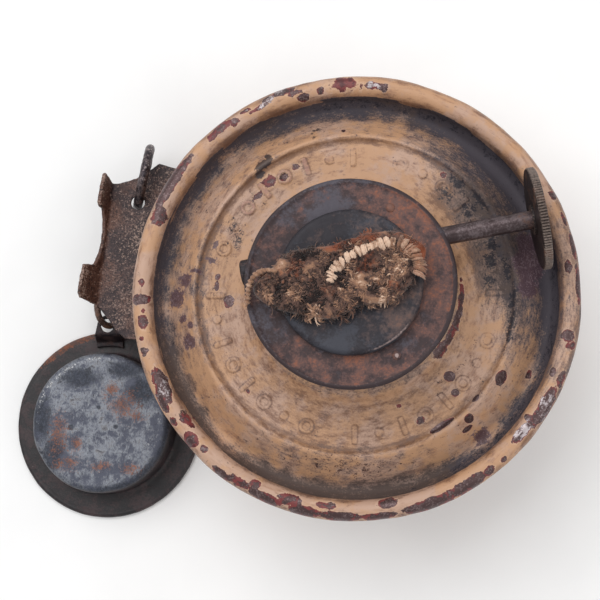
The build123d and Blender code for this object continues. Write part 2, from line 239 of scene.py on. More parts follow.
def worn_steel(name, dark, mid, rust, bright=None, rust_share=0.5, metal=0.5, rough=0.5, pit=0.05, grain=1):
    """Oxidised bare steel: dark with patches of rust, pitted, and rubbed bright on its edges."""
    m = Paint(name)
    cloud, patch, fine = m.grains((6 * grain, 4, 0.6), (1.6 * grain, 5, 0.65), (0.45, 4, 0.65))
    colour = m.over(dark, mid, patch + fine * 0.8, -0.08, 0.16)
    level = (0.5 - rust_share) * 0.3
    rusty = m.ramp(cloud + patch * 0.7 + fine * 0.3, level, level + 0.12)
    colour = m.mix(colour, m.over(rust, dark, fine, -0.05, 0.2, 0.6), rusty)
    if bright:
        colour = m.over(colour, bright, m.edges() + fine * 0.12, 0.53, 0.6, 0.8)
    height = patch * pit * 2 + fine * pit
    return m.finish(colour, rough + patch * 0.5 + rusty * 0.2, metal * (1 - rusty), height)


def hot_plate_steel(name, dark, blue, rust, orange):
    """Fire-scaled sheet: blue-grey oxide and orange rust, placed by the painted fields, and a pale grey for
    painted highlights.
    """
    m = Paint(name)
    cloud, patch, fine, streak = m.grains(
        (6.5, 4, 0.6), (2.4, 5, 0.66, None, 0.4), (0.5, 4, 0.65), (1, 4, 0.6, m.streaks(0.22, 1.6)))
    field = m.painted("rust") + cloud * 1.6 + patch * 1.3 + fine * 0.6 + streak * 0.6
    colour = m.over(dark, blue, m.painted("blue") - cloud * 2.0 + patch * 1.5 + fine, 0.2, 0.75)
    colour = m.over(colour, rust, field, 0.25, 0.75, 0.9)
    colour = m.over(colour, orange, field + fine * 0.9 + patch * 0.5, 0.62, 1.15, 0.85)
    # Pale grey where painted highlights lie on rims and rivets.
    colour = m.over(colour, (158, 138, 134), m.painted("worn") + fine * 0.9, 0.45, 1.0)
    metal = m.ramp(field, 0.7, 0.3) * 0.3
    return m.finish(colour, 0.6 + patch * 0.4, metal, patch * 0.12 + fine * 0.06)


def cap_steel():
    """Snuffer cap: blue-grey bare steel on the crown, scratched, with rust and brown flanges, soot stains,
    painted shade on its lower right and a painted highlight on its upper left edge.
    """
    m = Paint("cap_bare_steel")
    cloud, patch, fine, scratch = m.grains(
        (5.5, 4, 0.6), (2, 5, 0.68, None, 0.5), (0.5, 4, 0.72),
        (0.7, 4, 0.72, m.vector("MULTIPLY", m.at, (1.5, 0.55, 1)), 1.2))
    bare = m.painted("bare") + patch * 0.8 + fine * 0.35
    brown = m.over((29, 25, 29), (60, 46, 48), patch + fine * 0.9 + cloud, -0.12, 0.2)
    mottle = patch * 1.3 + scratch * 0.5 + cloud * 1.2
    steel = m.over((74, 77, 90), (134, 138, 146), mottle, -0.16, 0.22)
    steel = m.over(steel, (168, 168, 170), fine * 1.1 + scratch * 0.9 + patch * 0.4, 0.12, 0.32, 0.8)
    steel = m.over(steel, (96, 84, 78), cloud + patch * 0.8 - fine * 0.3, 0.10, 0.26, 0.5)
    # This field holds soot stains and painted shade on the crown's lower right edge.
    dark = m.painted("dark") + cloud * 0.8 + patch * 1.6 + fine * 1.1
    soot = m.over((26, 31, 42), (56, 61, 74), fine + scratch, -0.1, 0.16)
    steel = m.over(steel, soot, dark, 0.12, 0.62, 0.9)
    steel = m.over(steel, (52, 50, 58), fine * 1.2 + scratch - patch * 0.5, -0.1, -0.26, 0.8)
    colour = m.over(brown, steel, bare, 0.35, 0.65)
    rust = m.ramp(m.painted("rust") + patch * 2.2 + fine * 2.2, 0.26, 0.95)
    orange = m.over((96, 72, 66), (140, 88, 66), fine + patch * 0.6, -0.06, 0.14)
    colour = m.mix(colour, orange, rust * 0.82)
    colour = m.over(colour, (200, 200, 200), m.painted("glint") + fine * 2.4 + patch, 0.55, 0.9)
    rough = 0.5 + patch * 0.4 + rust * 0.25
    height = patch * 0.10 + fine * 0.06 + scratch * 0.03 + cloud * 0.12
    return m.finish(colour, rough, m.ramp(bare, 0.3, 0.7) * (1 - rust) * 0.35, height)


def cotton():
    """Charred and rusty cotton, from soot through brown to cream by its painted tone."""
    m = Paint("charred_cotton")
    fine, cloud = m.grains((0.35, 3, 0.6), (1.5, 4, 0.62))
    tone = m.painted("tone") + cloud * 0.9 + fine * 0.4
    colour = m.over((40, 31, 30), (98, 76, 68), tone, 0.0, 0.36)
    colour = m.over(colour, (150, 114, 92), tone, 0.32, 0.62)
    colour = m.over(colour, (222, 190, 166), tone, 0.60, 0.98)
    colour = m.over(colour, (132, 72, 48), m.painted("rust") + cloud * 1.4, 0.3, 0.8, 0.75)
    return m.finish(colour, 0.92, 0.0, fine * 0.1, Sheen_Weight=0.2, Specular_IOR_Level=0.15)


def pitted_steel():
    """Bracket steel: dark brown, closely pitted, with grains of old paint left in the pits."""
    m = Paint("pitted_bracket_steel")
    cloud, patch, fine, grain = m.grains(
        (7, 3, 0.6), (1.8, 5, 0.68), (0.42, 3, 0.65), (0.7, 4, 0.72, m.vector("ADD", m.at, (9, 4, 7))))
    colour = m.over((56, 42, 44), (98, 78, 74), patch + cloud + fine * 0.7, -0.12, 0.18)
    colour = m.over(colour, (104, 68, 52), m.painted("warm") + cloud * 1.4 - patch * 0.5, 0.1, 0.5, 0.6)
    colour = m.over(colour, (24, 20, 24), grain + fine * 0.9, 0.0, -0.16, 0.85)
    left = m.painted("paint_left") + grain * 2.8 + fine * 2.4 + patch * 0.8
    colour = m.over(colour, (158, 136, 124), left, 0.42, 0.74, 0.8)
    edge = m.painted("edge") + fine * 2.4 + patch * 1.8
    colour = m.over(colour, (164, 140, 128), edge, 0.5, 0.8, 0.75)
    height = patch * 0.16 + grain * 0.12 + fine * 0.08
    return m.finish(colour, 0.52 + patch * 0.4 + fine * 0.3, 0.2, height)


def fibre_board():
    """Hard pressed packing."""
    m = Paint("pressed_fibre")
    fine, = m.grains((0.3, 4, 0.7))
    colour = m.over((70, 58, 46), (104, 88, 70), fine, -0.1, 0.15)
    return m.finish(colour, 0.85, 0.0, fine * 0.05)


# ---- Mesh helpers ----
def link(name, mesh):
    thing = bpy.data.objects.new(name, mesh)
    bpy.context.scene.collection.objects.link(thing)
    return thing


def new_piece(name, points, faces):
    """Smooth mesh object from points in millimetres, with its faces turned outward."""
    mesh = bpy.data.meshes.new(name)
    mesh.from_pydata((np.asarray(points) * MM).tolist(), [], faces)
    work = bmesh.new()
    work.from_mesh(mesh)
    bmesh.ops.recalc_face_normals(work, faces=work.faces)
    work.to_mesh(mesh)
    work.free()
    mesh.shade_smooth()
    return link(name, mesh)


def settle(piece, material, body, slot, *replaced):
    """Gives a finished piece its material, its body and the CAD nodes that it stands for."""
    piece.data.materials.clear()
    piece.data.materials.append(material)
    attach(piece, body)
    if replaced:
        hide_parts(*replaced)


def places(piece):
    """A mesh's vertices in millimetres."""
    flat = np.zeros(len(piece.data.vertices) * 3, np.float32)
    piece.data.vertices.foreach_get("co", flat)
    return flat.reshape(-1, 3).astype(float) / MM


def paint_fields(piece, **fields):
    """Stores painted fields on a mesh's vertices, each as an array or as one number for all."""
    for name, values in fields.items():
        layer = piece.data.attributes.new(name, "FLOAT", "POINT")
        layer.data.foreach_set("value", np.broadcast_to(values, len(layer.data)).astype(np.float32))


def swell(points, size, seed, waves=14):
    """Smooth random field of about -1 to 1 over points, with features about `size` across."""
    source = np.random.default_rng(seed)
    total = np.zeros(points.shape[:-1])
    for _ in range(waves):
        direction = source.normal(size=3)
        direction /= np.linalg.norm(direction)
        pitch = 2 * math.pi / (size * source.uniform(1.2, 2.4))
        total += np.sin(points @ direction * pitch + source.uniform(0, 2 * math.pi))
    return total / math.sqrt(waves)


def fade(value, low, high):
    """Smooth step from 0 at low to 1 at high."""
    t = np.clip((value - low) / (high - low), 0, 1)
    return t * t * (3 - 2 * t)


def spaced(path, step):
    """Points along a path, evenly spaced."""
    path = np.asarray(path, float)
    run = np.concatenate([[0], np.cumsum(np.linalg.norm(np.diff(path, axis=0), axis=1))])
    at = np.linspace(0, run[-1], max(2, round(run[-1] / step)))
    return np.stack([np.interp(at, run, path[:, i]) for i in range(path.shape[1])], axis=1)


def rounded(corners, radius):
    """A line through the corners, each one rounded by a curve of about that radius."""
    corners = [np.array(c, float) for c in corners]
    path = [corners[0]]
    for before, corner, after in zip(corners, corners[1:], corners[2:]):
        ends = []
        for other in (before, after):
            run = np.linalg.norm(other - corner)
            ends.append(corner + (other - corner) * min(radius / run, 0.45))
        for t in np.linspace(0, 1, 9):
            path.append((1 - t) ** 2 * ends[0] + 2 * t * (1 - t) * corner + t * t * ends[1])
    return np.array(path + [corners[-1]])


def arc(centre, radius, start, end):
    """Points along an arc, from a start to an end in degrees."""
    turn = np.radians(np.linspace(start, end, 40))
    return np.stack([centre[0] + radius * np.cos(turn), centre[1] + radius * np.sin(turn)], axis=1)


def left_of(line, closed=False):
    """Unit normals on the left of a line in a plane."""
    ahead = np.roll(line, -1, axis=0) - np.roll(line, 1, axis=0) if closed else np.gradient(line, axis=0)
    ahead = ahead / np.linalg.norm(ahead, axis=1)[:, None]
    return np.stack([-ahead[:, 1], ahead[:, 0]], axis=1)


def around(radius, height, angle):
    """Points about the Z axis, from angles in degrees."""
    turn = np.radians(angle)
    return np.stack([radius * np.cos(turn), radius * np.sin(turn), height], axis=2)


def sheet_section(path, thickness, step, back_step):
    """Closed (radius, height) section of a sheet: its left face finely, its right face coarsely."""
    front = spaced(path, step)
    back = spaced(path, back_step)
    half = thickness / 2
    return np.vstack([front + half * left_of(front), (back - half * left_of(back))[::-1]])


def turned(name, section, turns, shape, centre=(0, 0)):
    """Solid of revolution about a vertical axis. Shape says how far each point moves outward."""
    angle = np.linspace(0, 360, turns, endpoint=False)[None, :]
    normal = left_of(section, closed=True)
    radius = np.repeat(section[:, :1], turns, axis=1)
    height = np.repeat(section[:, 1:], turns, axis=1)
    push = shape(radius, height, angle + 0 * radius)
    points = around(radius + push * normal[:, :1], height + push * normal[:, 1:], angle) + (*centre, 0)
    index = np.arange(radius.size).reshape(-1, turns)
    up = np.roll(index, -1, axis=0)
    faces = np.stack([index, np.roll(index, -1, axis=1), np.roll(up, -1, axis=1), up], axis=2)
    return new_piece(name, points.reshape(-1, 3), faces.reshape(-1, 4).tolist())


def weathered(node, voxel, depth, size, seed):
    """Copy of a CAD node with softened edges and an uneven face, pitted by `depth`."""
    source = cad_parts[node]
    rough = link(node + "_rough", source.data.copy())
    remesh = rough.modifiers.new("remesh", "REMESH")
    remesh.mode = "VOXEL"
    remesh.voxel_size = voxel * MM
    soften = rough.modifiers.new("soften", "SMOOTH")
    soften.iterations = 4
    mesh = bpy.data.meshes.new_from_object(rough.evaluated_get(bpy.context.evaluated_depsgraph_get()))
    bpy.data.objects.remove(rough)
    piece = link(node + "_worn", mesh)
    spots = places(piece)
    normals = np.zeros(len(mesh.vertices) * 3, np.float32)
    mesh.vertices.foreach_get("normal", normals)
    push = depth * (0.6 * swell(spots, size, seed) + 0.4 * swell(spots, size / 3, seed + 1) - 0.6)
    moved = (spots + normals.reshape(-1, 3) * push[:, None]) * MM
    mesh.vertices.foreach_set("co", moved.astype(np.float32).ravel())
    mesh.shade_smooth()
    return piece


class Map:
    """Where listed wear, stains and painted light lie on a piece, by angle and radius about a vertical
    axis.
    """

    def __init__(self, piece, centre=(0, 0)):
        self.points = places(piece)
        self.x = self.points[:, 0] - centre[0]
        self.y = self.points[:, 1] - centre[1]
        self.z = self.points[:, 2]
        self.radius = np.hypot(self.x, self.y)
        self.angle = np.degrees(np.arctan2(self.y, self.x))

    def off(self, angle):
        """Degrees from an angle, -180 to 180."""
        return (self.angle - angle + 180) % 360 - 180

    def arc(self, start, end, soft=8):
        """1 between two angles, anticlockwise from start to end, and 0 outside."""
        half = (end - start) / 2
        return 1 - fade(np.abs(self.off(start + half)), half - soft / 2, half + soft / 2)

    def arcs(self, *rows):
        """Sum of arcs, each given as (amount, start, end, soft)."""
        return sum(amount * self.arc(*where) for amount, *where in rows)

    def band(self, inner, outer, soft=1.0):
        """1 between two radii."""
        rise = fade(self.radius, inner - soft / 2, inner + soft / 2)
        return rise * (1 - fade(self.radius, outer - soft / 2, outer + soft / 2))

    def zones(self, *rows):
        """Sum of arcs within bands, each as (amount, start, end, soft, inner, outer, soft)."""
        return sum(row[0] * self.arc(*row[1:4]) * self.band(*row[4:]) for row in rows)

    def patch(self, angle, radius, along, across):
        """1 in the middle of an ellipse, 0 on its edge and less outside."""
        aside = np.radians(self.off(angle)) * radius
        return 1 - np.hypot(aside / along, (self.radius - radius) / across)

    def chips(self, chips, outside=-0.5):
        """Highest patch of a list of (angle, radius, half length, half width, depth)."""
        field = np.full(len(self.radius), outside)
        for angle, radius, along, across, depth in chips:
            field = np.maximum(field, depth * self.patch(angle, radius, along, across))
        return field


# ---- Fount ----
SHEET = 0.6
WALL_R = 48.9
NECK_HOLE_R = 18.3
NECK_R = 24.6
NECK_Z = 46.4
BAND_R = 34.2
BAND_IN_R = 29.6
BAND_OUT_R = 38.4
BAND_Z = 43.0
CREST_R = 39.4
CREST_Z = 44.2
CHANNEL_R = 48.3
CHANNEL_Z = 37.0
BEAD_R = 52.4
BEAD_Z = 42.4
ROLL_R = 2.3
MARK_COUNT = 36
MARK_HEIGHT = 0.32

# Wear on the dish, as (angle, radius, half length round the dish, half width, depth). A depth of
# 0.3 bares the red primer and 0.8 or more bares the steel.
RIM_CHIPS = [
    (92, 52.6, 3.9, 1.9, 0.42), (84.5, 52.2, 1.9, 1.1, 0.5), (81.5, 52, 1.2, 0.9, 0.4),
    (99, 51.6, 1, 0.9, 0.6), (104, 51, 1.5, 0.9, 0.7), (109, 53.8, 3.2, 1, 0.9), (106, 52.6, 2.2, 0.7, 0.5),
    (116.5, 52.4, 3, 0.6, 0.5), (120, 53.4, 1.6, 0.5, 0.4), (124, 52.4, 1.4, 0.9, 0.4),
    (113.5, 53.4, 1.6, 0.9, 0.8), (127.5, 53.4, 2.8, 1.2, 0.8), (131.5, 53.2, 1.5, 1, 0.6),
    (148, 53.4, 8.6, 1.6, 1), (157.5, 52.2, 2.6, 2.2, 0.7), (176.5, 52.4, 1.1, 0.8, 0.5),
    (181, 52.4, 1.4, 2.4, 0.8), (184, 52, 0.8, 0.6, 0.4), (187.2, 52.3, 1.9, 1.2, 0.6),
    (191.6, 53.2, 0.8, 0.7, 0.5), (195, 53.3, 1, 1.1, 0.5), (205.5, 52, 5, 1.9, 1.1),
    (209, 53.6, 3.4, 1.1, 0.8), (216.6, 51, 2.2, 1.2, 0.5), (215, 53.9, 1.4, 0.9, 0.7),
    (221.6, 53, 2.2, 1.9, 0.9), (226, 52.4, 1, 0.8, 0.5), (233.5, 54.1, 3, 1, 0.8),
    (238.6, 53.4, 2.8, 1.3, 0.6), (242.6, 51.9, 1.5, 1.2, 0.9), (246.5, 53.8, 4.5, 1.3, 0.8),
    (252.5, 52.2, 3, 1.5, 0.8), (257, 53.8, 4.6, 1.4, 0.9), (262, 51.6, 2.6, 0.9, 0.6),
    (266, 53.9, 5.6, 1.2, 0.9), (278.6, 51.2, 2.6, 1.3, 0.9), (276, 54, 5, 0.9, 0.8),
    (290, 53.8, 7.2, 1.5, 1), (300, 53.6, 6.2, 1.5, 0.9), (306.6, 53.6, 1.8, 1.1, 0.6),
    (311.4, 53.6, 0.9, 0.7, 0.7), (319.4, 52.4, 3.2, 1.3, 1.1), (323.8, 51.4, 1, 0.9, 0.5),
    (328.5, 53.2, 5.8, 1.7, 1.1), (336.6, 53.8, 2, 1, 0.6), (337.8, 51.4, 1.2, 0.7, 0.5),
    (348, 52.4, 1.6, 1.6, 0.9), (345.6, 52.8, 0.8, 0.7, 0.6), (346, 54, 1.2, 0.8, 0.6),
    (2, 54.2, 5.4, 0.8, 0.6), (6.4, 52, 1.6, 1, 0.6), (12, 54.2, 4, 0.7, 0.7), (26, 53.9, 1.3, 0.9, 0.5),
    (19, 54, 2, 0.5, 0.6),
]
DISH_CHIPS = [
    (172, 33.9, 0.8, 0.7, 1.1), (176, 33.9, 1.2, 0.6, 1.1), (182.7, 31, 1.6, 1.3, 0.7),
    (93.4, 41.2, 0.6, 0.5, 1.5), (222.4, 35.1, 0.7, 0.5, 0.8), (318.5, 30.6, 1.4, 1.4, 1.8),
    (315, 34.3, 1, 1, 1.7), (329.7, 40.9, 2, 1.4, 1.8), (312, 41, 1.3, 1.1, 1.6),
    (309.5, 42.6, 1.5, 0.6, 1.4), (303.1, 38.4, 3.6, 0.8, 1.6), (318.7, 38.8, 1.2, 0.5, 1.4),
    (291.4, 29.3, 0.7, 0.6, 0.4), (297.3, 34.7, 1.4, 0.8, 0.5), (335.4, 46.6, 1.2, 0.8, 0.5),
    (53, 36.8, 1, 0.8, 0.5), (134, 34.4, 1.6, 0.9, 0.35), (126, 35.4, 2, 1.4, 0.5),
    (120.4, 34.2, 1.3, 1, 0.4), (114, 35, 1, 0.7, 0.3),
]
NECK_CHIPS = [
    (0, 26.2, 3.4, 0.6, 0.5), (352, 26, 4, 0.7, 0.5), (343, 25.8, 4.2, 0.8, 0.5),
    (334, 25.5, 3.6, 0.9, 0.5), (326.5, 25.2, 2.8, 1.2, 0.6),
]
BLOTS = [
    (174.4, 42.2, 1.9, 1.9, 1), (180, 44.2, 2.6, 2.4, 1), (187.3, 42.9, 1.1, 1.1, 1),
    (195.4, 42.3, 2.1, 1.8, 1), (190, 41, 1, 0.8, 1), (159.2, 36.6, 1.2, 0.8, 1),
    (311.7, 46.2, 2.4, 2.2, 1), (2, 42.4, 3, 2.8, 1.2), (9, 42.8, 4.8, 3.8, 1.5), (16, 44, 3.4, 2.8, 1.3),
    (10, 46, 2.6, 1.6, 0.8), (166, 36, 0.8, 1.6, 0.8), (171, 39.5, 0.6, 1.6, 0.7),
]
CHAR = [
    (124.4, 39.6, 2.8, 1.3, 2), (127.4, 38, 1.4, 1, 1.8), (121.5, 40.6, 0.9, 1.5, 1.6),
    (102.5, 43, 1.4, 0.7, 0.9), (104, 41.6, 0.6, 1.5, 0.7), (46, 37, 3.4, 1.6, 0.7),
    (47, 33.4, 2.6, 2, 0.5), (36, 38.4, 4.5, 1, 0.7), (36, 34.6, 2.2, 2.6, 0.4), (24, 37, 3, 1.8, 0.5),
    (18.9, 35.6, 2.8, 1.6, 0.6), (12.9, 34, 2.6, 1.8, 0.7), (5, 32.8, 2, 1.6, 0.6), (8, 37.6, 4, 1.2, 0.7),
    (348, 38.8, 7, 0.9, 0.7), (357, 38.6, 5, 1.2, 0.6), (150, 34.5, 2, 1.6, 0.3),
    (156, 31.6, 2.6, 1.2, 0.3),
]


def mark_height(radius, angle):
    """Raised band marks, of 0 to 1: bars, dots and rings, with every ninth place left empty."""
    pitch = 360 / MARK_COUNT
    number = np.round(angle / pitch).astype(int) % MARK_COUNT
    off = np.radians(angle - np.round(angle / pitch) * pitch)
    out = radius * np.cos(off) - BAND_R
    side = radius * np.sin(off)
    bar = np.hypot(np.maximum(np.abs(out) - 1.8, 0), np.maximum(np.abs(side) - 0.2, 0)) - 0.5
    dot = np.hypot(out, side) - 1.1
    hoop = np.abs(dot - 0.35) - 0.45
    kind = (number * 5 // 3) % 3
    edge = np.where(kind == 0, bar, np.where(kind == 1, dot, hoop))
    return np.where(number % 9 == 8, 0, 1 - fade(edge, -0.3, 0.3))


def dish_shape(radius, height, angle):
    """Marks and slight dents on the dish's upper face."""
    points = around(radius, height, angle)
    dents = 0.10 * swell(points, 9, 3) + 0.03 * swell(points, 2.5, 4)
    upper = (height > BAND_Z) & (np.abs(radius - BAND_R) < 4)
    worn = 0.7 + 0.3 * swell(points, 4, 5)
    return np.where(upper, MARK_HEIGHT * worn * mark_height(radius, angle), 0) + dents


def top_dish():
    roll_in = BEAD_R - ROLL_R
    path = rounded([
        (NECK_HOLE_R, NECK_Z), (NECK_R, NECK_Z), (26.8, 43.9), (BAND_IN_R, BAND_Z), (BAND_OUT_R, BAND_Z),
        (CREST_R, CREST_Z), (46.0, 37.3), (CHANNEL_R, CHANNEL_Z), (roll_in, 39.6), (roll_in, BEAD_Z),
    ], 1.3)
    path = np.vstack([path, arc((BEAD_R, BEAD_Z), ROLL_R, 180, -110)[1:]])
    dish = turned("painted_top_dish", sheet_section(path, SHEET, 0.27, 1.0), 1000, dish_shape)
    spot = Map(dish)
    bead = (spot.radius > 49.8) & (spot.z > 40)
    wet = spot.radius + 1.0 * swell(spot.points, 9, 81) + 0.5 * swell(spot.points, 3.5, 82)
    marks = mark_height(spot.radius, spot.angle) * (np.abs(spot.radius - BAND_R) < 4)
    outline = 4 * marks * (1 - marks)
    north_west = spot.arc(100, 150, 20)
    east = spot.arc(-16, 60, 40)

    wear = np.maximum(spot.chips(RIM_CHIPS + DISH_CHIPS + NECK_CHIPS),
                      0.3 * outline * spot.arc(104, 150, 20) - 0.35)
    # Painted shade: the deepest part of the well by the bead is blackened like a shadow.
    deep = spot.zones((0.34, -70, 105, 30, 48.2, 50.2, 1.2)) * ~bead
    scuffs = 0.22 * fade(swell(spot.points, 4.2, 84), 0.1, 0.9) * (0.5 + 0.5 * spot.arc(95, 160, 20))

    speckle = 0.1 + 0.35 * spot.band(40, 46, 2) + 0.2 * outline - 0.6 * bead + spot.zones(
        (0.45, 120, 200, 40, 31, 38, 3), (0.5, 300, 345, 20, 29, 33, 3),
        (0.5, 28, 60, 20, 29, 40, 3), (0.45, 250, 285, 20, 38, 44, 3))

    well = fade(wet, 44.6, 49.4) * (spot.radius < 50.4)
    ramp = fade(wet, 38.6, 41) * (1 - fade(wet, 46, 48))
    ramp_foot = fade(wet, 42.5, 47) * (wet < 50)
    # Grime, with painted shade on the neck under the burner plate's edge.
    grime = 0.04 + 0.22 * outline + 0.25 * (spot.radius < 25.4)
    grime += ramp * (0.10 + 0.10 * spot.arc(52, 172, 50))
    grime += ~bead * (well + ramp_foot * (0.16 * spot.arc(20, 110, 50) + 0.08 * east)
                      + 0.7 * east * fade(spot.radius, 33, 40))
    grime += 0.26 * east * spot.band(37.0, 39.8, 2) + spot.zones(
        (0.56, -4, 44, 24, 30, 38, 4), (0.2, 150, 200, 24, 36.5, 40, 2),
        (0.22, 238, 290, 24, 37, 49, 4), (0.16, 160, 205, 16, 36, 48, 4))
    # On the bead: grime on its right, and painted shade on its sides off the crest.
    edge_grime = 0.12 * (np.abs(spot.radius - BEAD_R) > 1.9) + 0.32 * spot.arc(-32, 24, 20)

    outer = fade(spot.radius, 38, 46)
    cold = 0.15 + 0.6 * spot.arc(60, 190, 30) + (0.2 + 0.6 * outer) * spot.arc(-60, 60, 30)

    # Stains, with painted shade: a dark line along the step below the crest and a darker ring round the
    # burner plate's edge.
    stain = 0.15 + 0.55 * spot.band(37.4, 39.4, 1.2) + 0.4 * spot.band(24, 28.4, 2) + 0.3 * outline
    stain += spot.zones((0.8, -4, 56, 24, 29, 42, 3), (0.45, 205, 330, 60, 28, 38, 3),
                        (0.34, 95, 200, 60, 30, 39, 3))
    # Bead sides darker than its crest: painted shade, with stains and noise over it.
    rim_stain = 0.14 + 0.5 * fade(np.abs(spot.radius - 52.2), 0.9, 2.2)
    rim_stain += spot.arcs((0.25, -30, 30, 30), (0.2, 100, 165, 20)) + 0.14 * swell(spot.points, 5, 83)

    scrape = spot.arcs((0.5, 317, 323, 4), (0.4, 203, 210, 4), (0.35, 325, 333, 4), (0.5, 82.5, 86.5, 2),
                       (0.4, 108, 121, 4), (-1.0, 88.5, 95, 2), (-0.3, 125, 136, 4), (-0.3, 216, 224, 3))
    paint_fields(
        dish, wear=wear, speckle=speckle, cold=cold,
        blot=spot.chips(BLOTS, -1.0),
        char=np.maximum(spot.chips(CHAR, -1.0), deep - 0.3),
        pink=marks * (0.15 + 0.45 * north_west) + scuffs * bead,
        grime=np.where(bead, edge_grime, grime),
        stain=np.where(bead, rim_stain, stain),
        scrape=scrape * spot.band(49, 56) + spot.zones((0.2, 0, 19, 8, 39.5, 47.5, 3)),
    )
    settle(dish, PAINT, "fount", "tan_paint", "top_dish")


def fount_wall():
    """Upright wall with its lapped seam, dented, and worn and rusty towards the foot."""
    seam_angle = -75
    seam_half = 3.8

    def shape(radius, height, angle):
        off = np.abs((angle - seam_angle + 180) % 360 - 180)
        lap = (1 - fade(off, seam_half - 0.4, seam_half + 0.4)) * (height < 37)
        dents = 0.12 * swell(around(radius, height, angle), 14, 8) * (height > 1)
        return dents - np.where(radius > WALL_R, 0.35 * lap, 0)

    path = rounded([(WALL_R, 0.1), (WALL_R, 36.0), (51.2, 39.2)], 1.2)
    wall = turned("painted_fount_wall", sheet_section(path, SHEET, 0.6, 0.45), 640, shape)
    spot = Map(wall)
    low = 1 - fade(spot.z, 0, 6)
    paint_fields(
        wall, char=-1, pink=0, cold=0.3,
        wear=-0.35 + 0.34 * swell(spot.points, 9, 12) + 0.6 * low,
        speckle=0.3 + 0.5 * low,
        blot=-0.75 + 0.3 * swell(spot.points, 7, 17) + 0.5 * low,
        grime=0.25 + 0.4 * low + 0.25 * swell(spot.points, 14, 15) + 0.5 * (spot.z > 37),
        stain=0.3 + 0.5 * low,
        scrape=0.15 * low,
    )
    settle(wall, PAINT, "fount", "tan_paint", "fount_body")


# ---- Burner ----
PLATE_Z = 61.7
PLATE_R = 24.7
PLATE_HOLE_R = 14.9
PLATE_SHEET = 0.62
PLATE_ROLL_R = 0.8


def burner_plate():
    """Rusty plate with a small rolled edge, heat-warped by a fraction of a millimetre."""
    edge = PLATE_R - PLATE_ROLL_R
    top = PLATE_Z + PLATE_SHEET
    section = np.vstack([
        spaced(rounded([(PLATE_HOLE_R, PLATE_Z), (PLATE_HOLE_R, top), (edge - 0.9, top)], 0.2), 0.4),
        arc((edge, PLATE_Z + 0.15), PLATE_ROLL_R, 125, -125),
        [(edge - 1.2, PLATE_Z)],
    ])

    def shape(radius, height, angle):
        return 0.05 * swell(around(radius, 0 * height, angle), 7, 21)

    plate = turned("rusted_burner_plate", section, 420, shape)
    spot = Map(plate)
    rust = spot.arcs((0.36, 0, 75, 60), (0.26, -50, 10, 50), (0.30, 235, 300, 60), (0.2, 140, 190, 50))
    # Painted highlight along the top of the rolled edge.
    lit = spot.band(23.2, 24.2, 0.4) * (spot.z > top - 0.02)
    paint_fields(
        plate,
        rust=0.30 + rust - 0.7 * fade(spot.radius, 23.5, 24.1),
        blue=0.1 + spot.arcs((0.45, 75, 135, 50), (0.15, 190, 235, 40)),
        worn=0.45 * lit * (0.4 + 0.6 * np.maximum(spot.arc(190, 330, 50), spot.arc(60, 140, 30))),
    )
    steel = hot_plate_steel("rusted_plate_steel", (58, 46, 48), (80, 76, 84), (100, 70, 64), (138, 84, 62))
    settle(plate, steel, "burner", "rusty_plate", "burner_plate")


def burner_boss():
    """Heat-blued boss round the wick's slot, with a painted highlight on its rim."""
    boss = weathered("burner_boss", 0.28, 0.05, 5, 31)
    spot = Map(boss)
    # Painted highlight on the rim's top edge, strongest on its lower right.
    rim = fade(spot.radius, 15.9, 16.6) * fade(spot.z, 64.3, 64.8)
    paint_fields(
        boss,
        rust=0.14 + spot.arcs((0.42, -60, 0, 50), (0.3, 20, 90, 40)),
        blue=0.3 + spot.arcs((0.3, 225, 285, 60), (-0.4, 95, 150, 40), (0.2, 55, 95, 30)),
        worn=0.8 * rim * (0.3 + 0.7 * spot.arc(285, 325, 20)),
    )
    steel = hot_plate_steel("heat_blued_steel", (44, 41, 47), (64, 65, 73), (86, 69, 66), (108, 80, 70))
    settle(boss, steel, "burner", "heat_blued_boss", "burner_boss")


def boss_rivets():
    """Rivet heads of the boss, one of them with a painted glint."""
    rivets = weathered("boss_rivets", 0.12, 0.03, 1.2, 33)
    spot = Map(rivets)
    top = fade(spot.z, PLATE_Z + 0.92, PLATE_Z + 1.05)
    # Painted glint on the top of the rivet at about -58 degrees.
    paint_fields(rivets, rust=0.7, blue=0.2, worn=1.2 * spot.arc(-70, -46) * top)
    steel = hot_plate_steel("rubbed_rivet_steel", (64, 50, 50), (80, 76, 84), (104, 74, 66), (128, 84, 66))
    settle(rivets, steel, "burner", "rivet_steel", "boss_rivets")


# ---- Wick ----
# Outline of the frayed head seen from above in the burner's frame: along the slot, across it.
HEAD_OUTLINE = [
    (18.3, 3), (15.8, 7), (11, 9.2), (4.5, 9.6), (-3, 8.4), (-11.5, 8.8), (-18, 5), (-22, 1.5),
    (-18.4, -3.1), (-9.7, -7), (-4.7, -8.2), (1.3, -6.5), (9.2, -6.6), (14.4, -2.5),
]
HEAD_SPAN = ((-23, 19), (-9, 10))
HEAD_MID = (-2.0, 1.0)
HEAD_LOW_Z = 66.0
HEAD_MID_Z = 68.0
HEAD_HALF = 1.9
HEAD_TOP_Z = 70.5
ROUNDNESS = 0.7
LIP_MID = (7.0, 1.0)
# Line of the yarns that stand along the lip.
HEM_LINE = rounded([
    (-4.2, 0.2), (-3.6, 2.0), (-1.6, 3.9), (2.0, 5.5), (6.0, 6.2), (10.2, 6.7), (13.4, 6.0), (15.6, 3.6),
    (16.4, 0.6), (15.6, -2.0),
], 2.0)
HEM_CLEAR = 1.3
